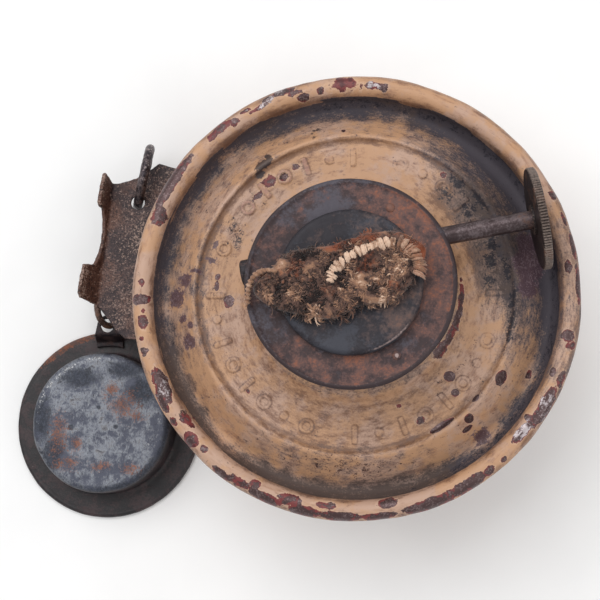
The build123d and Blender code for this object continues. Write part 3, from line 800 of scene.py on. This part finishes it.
# Paler tufts of the head, as (u, v, half length, half width).
TUFTS = [
    (1.2, -1.2, 1.3, 3), (11.2, -1.4, 1.2, 2.4), (14.2, -4.4, 1.6, 1.8), (5.4, -5.2, 2.2, 1),
    (-7.2, -6.4, 2.4, 1.2), (-12.6, -4.6, 1.6, 1.4), (-14, 5.6, 2.4, 1.2), (-18.6, -0.4, 1.4, 1.8),
    (-9, 3.2, 1.4, 2),
]
WICK_W = 25.0
WICK_T = 4.4


def closed_curve(points, count):
    """Smooth closed curve through points (Catmull-Rom)."""
    points = np.array(points)
    curve = []
    for i in range(len(points)):
        a, b, c, d = (points[(i + k) % len(points)] for k in (-1, 0, 1, 2))
        for t in np.linspace(0, 1, 12, endpoint=False):
            curve.append(0.5 * (2 * b + (c - a) * t + (2 * a - 5 * b + 4 * c - d) * t * t
                                + (3 * b - a - 3 * c + d) * t ** 3))
    curve = np.array(curve + [curve[0]])
    return spaced(curve, np.linalg.norm(np.diff(curve, axis=0), axis=1).sum() / (count + 1))[:-1]


HEAD_CURVE = closed_curve(HEAD_OUTLINE, 160)


def head_share(u, v):
    """How far out a point is: 0 in the middle of the head and 1 on its outline."""
    curve = HEAD_CURVE - HEAD_MID
    turn = np.arctan2(curve[:, 1], curve[:, 0])
    order = np.argsort(turn)
    reach = np.interp(np.arctan2(v - HEAD_MID[1], u - HEAD_MID[0]), turn[order],
                      np.hypot(*curve[order].T), period=2 * math.pi)
    return np.hypot(u - HEAD_MID[0], v - HEAD_MID[1]) / reach


def head_top(u, v):
    """Height of the head's upper face, with the hollow of its lip."""
    share = np.clip(head_share(u, v), 0, 1)
    hollow = np.exp(-((u - LIP_MID[0]) / 6.0) ** 2 - ((v - LIP_MID[1]) / 3.2) ** 2)
    crown = (1 - share ** (2 / ROUNDNESS)) ** (ROUNDNESS / 2)
    return HEAD_MID_Z + HEAD_HALF * crown - 1.5 * hollow


def in_row_frame(points):
    """From the burner's own frame to the row frame."""
    turn = math.radians(BURNER_ANGLE)
    x = points[..., 0] * math.cos(turn) - points[..., 1] * math.sin(turn)
    y = points[..., 0] * math.sin(turn) + points[..., 1] * math.cos(turn)
    return np.stack([x, y, points[..., 2]], axis=-1)


class Fibres:
    """Many yarns and hairs gathered into one mesh, with a tone and a rust value for each."""

    def __init__(self):
        self.points = []
        self.faces = []
        self.tone = []
        self.rust = []
        self.count = 0

    def add(self, paths, radii, tone, rust, sides=5, ply=0.0):
        """Tubes along paths of shape (count, steps, 3), with tapered, closed ends."""
        count, steps, _ = paths.shape
        along = np.gradient(paths, axis=1)
        along /= np.linalg.norm(along, axis=2, keepdims=True) + 1e-9
        side = np.cross(along, (0.31, 0.2, 0.93))
        side /= np.linalg.norm(side, axis=2, keepdims=True) + 1e-9
        up = np.cross(along, side)
        share = np.linspace(0, 1, steps)
        taper = 0.25 + 0.75 * np.sin(math.pi * np.clip(share, 0.03, 0.97)) ** 0.45
        turn = np.linspace(0, 2 * math.pi, sides, endpoint=False)
        twist = 1 + ply * np.cos(3 * turn[None, :] + 9 * share[:, None])
        size = np.broadcast_to(radii, count)[:, None, None] * taper[None, :, None] * twist[None]
        ring = side[:, :, None] * np.cos(turn)[:, None] + up[:, :, None] * np.sin(turn)[:, None]
        points = paths[:, :, None] + size[..., None] * ring
        index = self.count + np.arange(count * steps * sides).reshape(count, steps, sides)
        left = np.roll(index, -1, axis=2)
        walls = np.stack([index[:, :-1], left[:, :-1], left[:, 1:], index[:, 1:]], axis=3)
        self.faces += walls.reshape(-1, 4).tolist()
        self.faces += index[:, 0, ::-1].tolist() + index[:, -1].tolist()
        self.points.append(points.reshape(-1, 3))
        self.tone.append(np.repeat(np.broadcast_to(tone, count), steps * sides))
        self.rust.append(np.repeat(np.broadcast_to(rust, count), steps * sides))
        self.count += count * steps * sides


def hem_yarns(fibres):
    """Cream yarns of three strands that stand side by side over the upper edge of the lip."""
    stands = spaced(HEM_LINE, 1.32)
    count = len(stands)
    stands = stands + rng.normal(0, 0.1, stands.shape)
    out = left_of(stands)
    ahead = np.stack([out[:, 1], -out[:, 0]], axis=1)
    share = np.linspace(-1, 1, 13)
    lean = rng.normal(0.25, 0.34, count)
    fray = fade(stands[:, 0], 9, 14)
    reach = rng.uniform(1.4, 2.2, count) * (1 - 0.15 * fray)
    tone = np.clip(1.02 - 0.36 * fray + rng.normal(0, 0.13, count), 0.4, 1.1)
    lift = rng.normal(0.02, 0.12, (count, 1)) - 0.1 * fray[:, None]
    for strand in (-1, 0, 1):
        shift = strand * 0.36 + rng.normal(0, 0.07, count)
        across = share * reach[:, None] * rng.uniform(0.85, 1.1, (count, 1))
        flat = stands[:, None] + out[:, None] * across[..., None]
        flat = flat + ahead[:, None] * (share[None] * lean[:, None] + shift[:, None])[..., None]
        height = HEAD_TOP_Z - 0.1 - 2.4 * np.abs(share) ** 2.2 - 0.22 * abs(strand) + lift
        height = height + 0.1 * np.sin(share * 7 + strand * 2)[None]
        paths = np.concatenate([flat, height[..., None]], axis=2)
        paths = paths + rng.normal(0, 0.05, paths.shape)
        shade = np.clip(tone + rng.normal(0, 0.07, count), 0.3, 1)
        fibres.add(paths, rng.uniform(0.26, 0.40, count), shade, 0.75 * fray - 0.25, 7, 0.14)


def scatter(count, clear=True):
    """Random points of the head, clear of the hem yarns unless told otherwise."""
    found = []
    while len(found) < count:
        u, v = (rng.uniform(*span) for span in HEAD_SPAN)
        if head_share(np.array(u), np.array(v)) < 0.97 and (not clear or hem_distance(u, v) > HEM_CLEAR):
            found.append((u, v))
    return np.array(found)


def tufts(u, v):
    """1 in the middle of a tuft and 0 away from them."""
    field = np.zeros(np.shape(u))
    for mid_u, mid_v, half_u, half_v in TUFTS:
        field = np.maximum(field, np.exp(-((u - mid_u) / half_u) ** 2 - ((v - mid_v) / half_v) ** 2))
    return field


def hem_distance(u, v):
    """How far a point of the head is from the line of the hem yarns."""
    return np.hypot(HEM_LINE[:, 0] - u, HEM_LINE[:, 1] - v).min(axis=-1)


def head_tone(spots):
    """How pale the cotton is at points of the head: dark in the tail and pale in and round the lip."""
    u, v = spots[:, 0], spots[:, 1]
    reach = hem_distance(u[:, None], v[:, None])
    in_lip = 1 - fade(np.hypot((u - 6) / 9.6, (v - 0.6) / 5.0), 0.9, 1.05)
    groove = np.exp(-((reach - 2.2) / 0.8) ** 2) * in_lip
    inside = np.exp(-((u - LIP_MID[0]) / 8.0) ** 2 - ((v - LIP_MID[1]) / 4.2) ** 2)
    low_edge = fade(-v, 3.4, 6.4)
    flat = np.column_stack([u, v, 0 * u])
    cloud = swell(flat, 3.4, 55) + 0.6 * swell(flat, 1.6, 56)
    tone = 0.23 + 0.16 * inside + 0.24 * fade(u, 6, 13) + 0.08 * low_edge + 0.20 * cloud
    return tone + 0.15 * tufts(u, v) - 0.26 * groove


def head_rust(spots):
    """How rusty the cotton is: the outer edge of the lip, and clouds elsewhere."""
    u, v = spots[:, 0], spots[:, 1]
    edge = fade(v, 6.0, 8.2) * fade(u, -10, -4) * (1 - fade(u, 8, 13))
    cloud = swell(np.column_stack([u, v, 0 * u]), 4.2, 57)
    return 0.12 + 0.6 * edge + 0.3 * fade(u, 11, 15) + 0.26 * cloud


def locks(fibres, roots, hairs, length, radius, steps, spread, lift, sides=4):
    """Locks of curly hairs that lie over on the head, each rooted at a point of its upper face."""
    count = len(roots)
    total = count * hairs
    heading = rng.uniform(0, 2 * math.pi, count)
    bend = rng.normal(0, 1.3, count)
    long = rng.uniform(*length, count)
    tone = head_tone(roots) + rng.normal(0, 0.06, count)
    rise = rng.uniform(0.1, lift, count)
    by_lock = np.column_stack([roots, heading, bend, long, tone, head_rust(roots), rise])
    u, v, heading, bend, long, tone, rust, rise = np.repeat(by_lock, hairs, axis=0).T
    u, v = (np.stack([u, v], axis=1) + rng.normal(0, spread, (total, 2))).T
    heading = heading + rng.normal(0, 0.35, total)
    bend = bend + rng.normal(0, 0.6, total)
    long = long * rng.uniform(0.6, 1.1, total)
    rise = rise * rng.uniform(0.6, 1.2, total)
    tone = np.clip(tone + rng.normal(0, 0.09, total), 0, 1)
    share = np.linspace(0, 1, steps)
    turn = heading[:, None] + bend[:, None] * share
    stride = (long / steps)[:, None]
    u = u[:, None] + np.cumsum(np.cos(turn) * stride, axis=1)
    v = v[:, None] + np.cumsum(np.sin(turn) * stride, axis=1)
    wave = rng.normal(0, 0.10, (total, 1)) * np.sin(share * 9 + rng.uniform(0, 6, (total, 1)))
    over = np.maximum(head_share(u, v) - 0.92, 0) * 6
    top = head_top(u, v) + 0.05 + rise[:, None] * np.sin(math.pi * share)[None] + wave
    z = np.maximum(np.minimum(top, HEAD_TOP_Z) - over, HEAD_LOW_Z - 0.2)
    fibres.add(np.stack([u, v, z], axis=2), rng.uniform(*radius, total), tone, rust, sides)


def loose_yarn(fibres):
    """Beaded strand at the left end, which curls down past the edge of the plate."""
    route = rounded([(-15.6, 4.6, 69.7), (-18.6, 5.6, 69.4), (-21.4, 4.8, 68.4), (-23.2, 2.4, 66.4),
                     (-23.8, 0.6, 64.8), (-24.6, -1.2, 63.9)], 1.6)
    line = spaced(route, 0.22)
    share = np.linspace(0, 1, len(line))
    beads = 0.42 + 0.2 * np.abs(np.sin(share * math.pi * 9))
    fibres.add(line[None], 0.52, 0.58, 0.0, 9, 0.2)
    for at, size in zip(line[4:-2:5], beads[4:-2:5]):
        nub = at + np.linspace(-0.5, 0.5, 5)[:, None] * np.array([0.4, 0.7, 0.3])
        fibres.add(nub[None], size * 1.5, 0.62, 0.1, 8, 0.1)


def wick_fibres():
    fibres = Fibres()
    hem_yarns(fibres)
    locks(fibres, scatter(280), 10, (1.4, 3.2), (0.09, 0.18), 8, 0.26, 0.5)
    locks(fibres, scatter(170), 5, (1.4, 2.8), (0.18, 0.32), 8, 0.26, 0.45, 6)
    locks(fibres, scatter(260, clear=False), 8, (0.8, 1.8), (0.07, 0.13), 6, 0.3, 0.2)
    locks(fibres, scatter(420), 1, (1.2, 3.2), (0.035, 0.06), 8, 0.2, 0.8, 3)
    loose_yarn(fibres)
    fluff = new_piece("wick_frayed_yarns", in_row_frame(np.vstack(fibres.points)), fibres.faces)
    paint_fields(fluff, tone=np.concatenate(fibres.tone), rust=np.concatenate(fibres.rust))
    settle(fluff, COTTON, "wick", "wick_cotton")


def ring_stack(name, points):
    """Closed piece from a stack of rings, of shape (levels, count, 3) in the burner's own frame."""
    index = np.arange(points.size // 3).reshape(points.shape[:2])
    left = np.roll(index, -1, axis=1)
    walls = np.stack([index[:-1], index[1:], left[1:], left[:-1]], axis=2)
    faces = walls.reshape(-1, 4).tolist() + [index[0].tolist(), index[-1, ::-1].tolist()]
    return new_piece(name, in_row_frame(points.reshape(-1, 3)), faces)


def wick_core():
    """Matted body of the head."""
    tilt = np.linspace(0.02, math.pi - 0.02, 26)
    share = np.sin(tilt) ** ROUNDNESS
    level = (np.sign(np.cos(tilt)) * np.abs(np.cos(tilt)) ** ROUNDNESS)[:, None]
    flat = HEAD_MID + share[:, None, None] * (HEAD_CURVE - HEAD_MID)[None]
    upper = head_top(flat[..., 0], flat[..., 1])
    lower = HEAD_MID_Z + (HEAD_MID_Z - HEAD_LOW_Z) * level
    points = np.concatenate([flat, np.where(level > 0, upper, lower)[..., None]], axis=2)
    lumps = 0.42 * swell(points, 2.6, 50) + 0.34 * swell(points, 1.4, 51) + 0.10 * swell(points, 0.7, 52)
    lumps += 0.4 * tufts(flat[..., 0], flat[..., 1])
    points[..., 2] += lumps * (level > -0.3)
    core = ring_stack("wick_matted_head", points)
    spots = flat.reshape(-1, 2)
    paint_fields(core, tone=head_tone(spots) - 0.06 + 0.25 * lumps.ravel(), rust=head_rust(spots))
    settle(core, COTTON, "wick", "wick_cotton")


def wick_shank():
    """Flat woven wick below its head: a rounded strip with a rib for every warp yarn."""
    corner = 1.6
    rib = 1.25
    pick = 1.6
    step = 0.16
    half = (WICK_W / 2 - corner, WICK_T / 2 - corner)
    outline = []
    for quarter, (sx, sy) in enumerate(((1, 1), (-1, 1), (-1, -1), (1, -1))):
        outline.append(arc((sx * half[0], sy * half[1]), corner, quarter * 90, quarter * 90 + 90))
    outline = spaced(np.vstack(outline + [outline[0][:1]]), step)[:-1]
    levels = np.arange(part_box("wick")[0].z / MM, HEAD_MID_Z, 0.4)[:, None]
    side = np.arange(len(outline))[None] * step
    weave = 0.11 * np.cos(side * 2 * math.pi / rib)
    weave = weave + 0.07 * np.cos(levels * 2 * math.pi / pick + (side // rib % 2) * math.pi)
    flat = outline[None] - left_of(outline, closed=True)[None] * (weave - 0.18)[..., None]
    points = np.concatenate([flat, np.repeat(levels, len(outline), axis=1)[..., None]], axis=2)
    shank = ring_stack("wick_woven_shank", points)
    z = points[..., 2].ravel()
    paint_fields(shank, tone=0.78 - 0.5 * fade(z, 50, 66), rust=0.3 * fade(z, 54, 64))
    settle(shank, COTTON, "wick", "wick_cotton", "wick")


# ---- Snuffer cap ----
CAP_R = 25.4
CAP_BEAD_R = 0.9
CAP_CROWN_R = 18.7
CAP_TOP = 12.0
CAP_SHEET = 0.7
CAP_FLANGE_Z = 1.55
# Stains of the crown, as (x, y, half width, half height) in shares of its radius.
CAP_RUST = [
    (0.36, 0.24, 0.34, 0.3), (0.16, 0.46, 0.2, 0.18), (0.55, 0.08, 0.18, 0.14), (-0.6, -0.16, 0.22, 0.44),
    (-0.46, -0.56, 0.28, 0.18), (0, -0.62, 0.22, 0.12), (0.46, -0.66, 0.26, 0.12), (-0.34, -0.3, 0.12, 0.2),
]
CAP_SOOT = [
    (0.6, 0.46, 0.36, 0.3), (0.36, 0.76, 0.36, 0.18), (-0.3, 0.64, 0.42, 0.2), (-0.84, 0.06, 0.2, 0.5),
    (-0.03, 0.22, 0.05, 0.04), (-0.42, -0.06, 0.07, 0.06), (0.23, -0.06, 0.05, 0.04),
    (-0.66, -0.42, 0.24, 0.34),
]


def cap_shape(radius, height, angle):
    """Slight dents, deeper on the crown."""
    points = around(radius, height * 0.4, angle)
    crown = 1 - fade(radius, CAP_CROWN_R, CAP_CROWN_R + 1)
    return (0.02 + 0.05 * crown) * swell(points, 6, 61) + 0.025 * swell(points, 2, 62)


def snuffer_cap():
    low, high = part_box("snuffer_cap")
    centre = ((low.x + high.x) / 2 / MM, (low.y + high.y) / 2 / MM)
    top = CAP_TOP - CAP_SHEET / 2
    side = CAP_CROWN_R - CAP_SHEET / 2
    step = 0.35
    path = rounded([
        (0.02, top), (side, top), (side + 0.25, CAP_FLANGE_Z), (CAP_R - 2 * CAP_BEAD_R, CAP_FLANGE_Z),
    ], 1.7)
    sheet = sheet_section(path, CAP_SHEET, step, 0.8)
    count = len(spaced(path, step))
    roll = arc((CAP_R - CAP_BEAD_R, CAP_BEAD_R), CAP_BEAD_R, 105, -180)
    section = np.vstack([sheet[:count], roll, sheet[count:]])
    cap = turned("bare_snuffer_cap", section, 420, cap_shape, centre)
    spot = Map(cap, centre)

    def stains(rows):
        field = np.full(len(spot.x), -1.0)
        for x, y, wide, tall in rows:
            off = np.hypot(spot.x / CAP_CROWN_R - x, (spot.y / CAP_CROWN_R - y) * wide / tall)
            field = np.maximum(field, 1 - off / wide)
        return field

    streak = spot.arc(100, 138, 20) * fade(spot.radius, 23.2, 24.2)
    rust = np.where(spot.z > 8, 0.9 * stains(CAP_RUST), -0.5)
    # Painted shade on the crown's edge and flange, strongest on the lower right.
    shoulder = fade(spot.radius, 15.6, 18.2) * (0.2 + 0.4 * spot.arc(-100, 40, 60))
    paint_fields(
        cap,
        bare=fade(spot.z, 9.6, 10.8) * (1 - fade(spot.radius, 17.4, 18.6) * 0.5),
        rust=np.maximum(rust, 1.2 * streak - 0.5 * (streak < 0.05)),
        dark=np.maximum(stains(CAP_SOOT), shoulder),
        glint=spot.zones((0.5, 70, 175, 40, 16.4, 18.0, 1.0)) * (spot.z > 10),
    )
    settle(cap, cap_steel(), "snuffer", "cap_steel", "snuffer_cap")


# ---- Steel fittings ----
def bracket():
    """Pitted bracket, with paint left on its shelf and bright wear on top of its ears."""
    piece = weathered("bracket", 0.3, 0.09, 3.0, 71)
    spot = Map(piece)
    shelf = 1 - fade(spot.radius, 60, 70)
    paint_fields(
        piece,
        edge=0.5 * fade(spot.z, 18.4, 20.4) + 0.1 * fade(spot.radius, 71.2, 72.5),
        warm=0.1 + 0.35 * fade(spot.z, 15.8, 17.4) + 0.3 * fade(spot.radius, 68, 71),
        paint_left=0.12 + 0.35 * shelf * (0.5 + 0.5 * swell(spot.points, 9, 79)),
    )
    settle(piece, pitted_steel(), "fount", "pitted_bracket", "bracket")


def fittings():
    """Softened, pitted copies of the small drawn and turned steel parts."""
    ring_steel = worn_steel(
        "dark_ring_steel", (48, 42, 47), (116, 104, 104), (84, 64, 58), (170, 160, 158),
        rust_share=0.3, metal=0.6, rough=0.36)
    link_steel = worn_steel(
        "brown_link_steel", (84, 66, 60), (140, 114, 104), (120, 86, 68), (190, 168, 154),
        rough=0.4, pit=0.04)
    bearing = worn_steel(
        "sooty_bearing_steel", (42, 38, 42), (76, 68, 70), (92, 58, 48), (120, 108, 104), pit=0.06)
    lug = worn_steel(
        "dark_lug_steel", (40, 34, 38), (66, 54, 55), (70, 52, 50), (92, 80, 78),
        rust_share=0.4, metal=0.3, rough=0.6, pit=0.08)
    for node, voxel, depth, size, seed, material, body, slot in (
        ("hanging_ring", 0.16, 0.06, 2.2, 72, ring_steel, "hanging_ring", "ring_steel"),
        ("link_ring", 0.12, 0.04, 1.5, 73, link_steel, "link_ring", "ring_steel"),
        ("snuffer_lug", 0.2, 0.05, 2.2, 74, lug, "snuffer", "cap_steel"),
        ("end_bearing", 0.2, 0.05, 2.5, 76, bearing, "burner", "dark_steel"),
        ("bearing_bush", 0.2, 0.04, 2.5, 77, bearing, "burner", "dark_steel"),
    ):
        settle(weathered(node, voxel, depth, size, seed), material, body, slot, node)


def cad_finishes():
    """Materials for the CAD nodes that are shown as they are, by the record's slot."""
    dark = worn_steel(
        "sooty_sheet_steel", (48, 43, 46), (84, 74, 74), (104, 64, 50),
        metal=0.45, rough=0.52, grain=1.2)
    base = worn_steel(
        "rusty_base_steel", (70, 54, 50), (112, 92, 84), (124, 72, 50),
        rust_share=0.7, metal=0.3, rough=0.62, pit=0.08, grain=1.6)
    rivet = worn_steel(
        "rivet_head_steel", (96, 74, 72), (150, 124, 118), (126, 80, 64),
        rust_share=0.4, rough=0.42, pit=0.04, grain=0.4)
    spindle = worn_steel(
        "drawn_spindle_steel", (70, 58, 59), (104, 92, 94), (108, 74, 58),
        rust_share=0.3, metal=0.6, rough=0.38, pit=0.015, grain=2.2)
    wheel = worn_steel(
        "knurled_wheel_steel", (42, 36, 37), (62, 52, 52), (88, 58, 45), (132, 117, 108),
        rust_share=0.3, rough=0.45, pit=0.02, grain=1.4)
    finishes = {
        "worn_base": base, "rim_steel": dark, "dark_steel": dark, "rivet_steel": rivet,
        "spindle_steel": spindle, "wheel_steel": wheel, "gasket": fibre_board(),
    }
    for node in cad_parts.values():
        slot = node.data.materials[0].name
        if slot in finishes:
            node.data.materials[0] = finishes[slot]


# ---- Studio ----
CAMERA_AT = (14.714, -46.673, 382.4)
CAMERA_TO = (-13.316, -1.166, 42.4)
CAMERA_LENS = 84.0
FLOOR_DULL = (245.516, 245.516, 245.516)
FLOOR_BRIGHT = (249.123, 249.123, 249.123)


def camera():
    lens = bpy.data.cameras.new("camera")
    lens.lens = CAMERA_LENS
    lens.sensor_width = 36
    lens.clip_start = 0.01
    eye = link("camera", lens)
    back = (Vector(CAMERA_AT) - Vector(CAMERA_TO)).normalized()
    right = Vector((0, 1, 0)).cross(back).normalized()
    up = back.cross(right)
    turn = Matrix((right, up, back)).transposed()
    eye.matrix_world = Matrix.Translation(Vector(CAMERA_AT) * MM) @ turn.to_4x4()
    bpy.context.scene.camera = eye


def soft_light(name, at, to, size, power, tint=(1, 1, 1)):
    """Square area light, placed in millimetres."""
    light = bpy.data.lights.new(name, "AREA")
    light.shape = "SQUARE"
    light.size = size * MM
    light.energy = power
    light.color = tint
    lamp = link(name, light)
    lamp.location = Vector(at) * MM
    lamp.rotation_euler = (Vector(to) - Vector(at)).to_track_quat("-Z", "Y").to_euler()


def studio():
    m = Paint("studio_floor")
    shade = m.over(FLOOR_DULL, FLOOR_BRIGHT, m.noise(30), 0.3, 0.7)
    mesh = bpy.data.meshes.new("studio_floor")
    corners = [(-3, -3, 0), (3, -3, 0), (3, 3, 0), (-3, 3, 0)]
    mesh.from_pydata(corners, [], [(0, 1, 2, 3)])
    floor = link("studio_floor", mesh)
    mesh.materials.append(m.finish(shade, 0.9))
    soft_light("key_light", (-260, 290, 640), (0, 0, 40), 720, 3.7)
    soft_light("fill_light", (420, -200, 520), (0, 0, 40), 620, 1.3)
    world = bpy.data.worlds.new("studio")
    world.use_nodes = True
    world.node_tree.nodes["Background"].inputs["Color"].default_value = (1, 1, 1, 1)
    world.node_tree.nodes["Background"].inputs["Strength"].default_value = 0.52
    bpy.context.scene.world = world
    bpy.context.scene.view_settings.view_transform = "Standard"


PAINT = old_paint("old_dark_yellow_paint")
COTTON = cotton()
camera()
studio()
top_dish()
fount_wall()
burner_plate()
burner_boss()
boss_rivets()
wick_core()
wick_shank()
wick_fibres()
snuffer_cap()
bracket()
fittings()
cad_finishes()
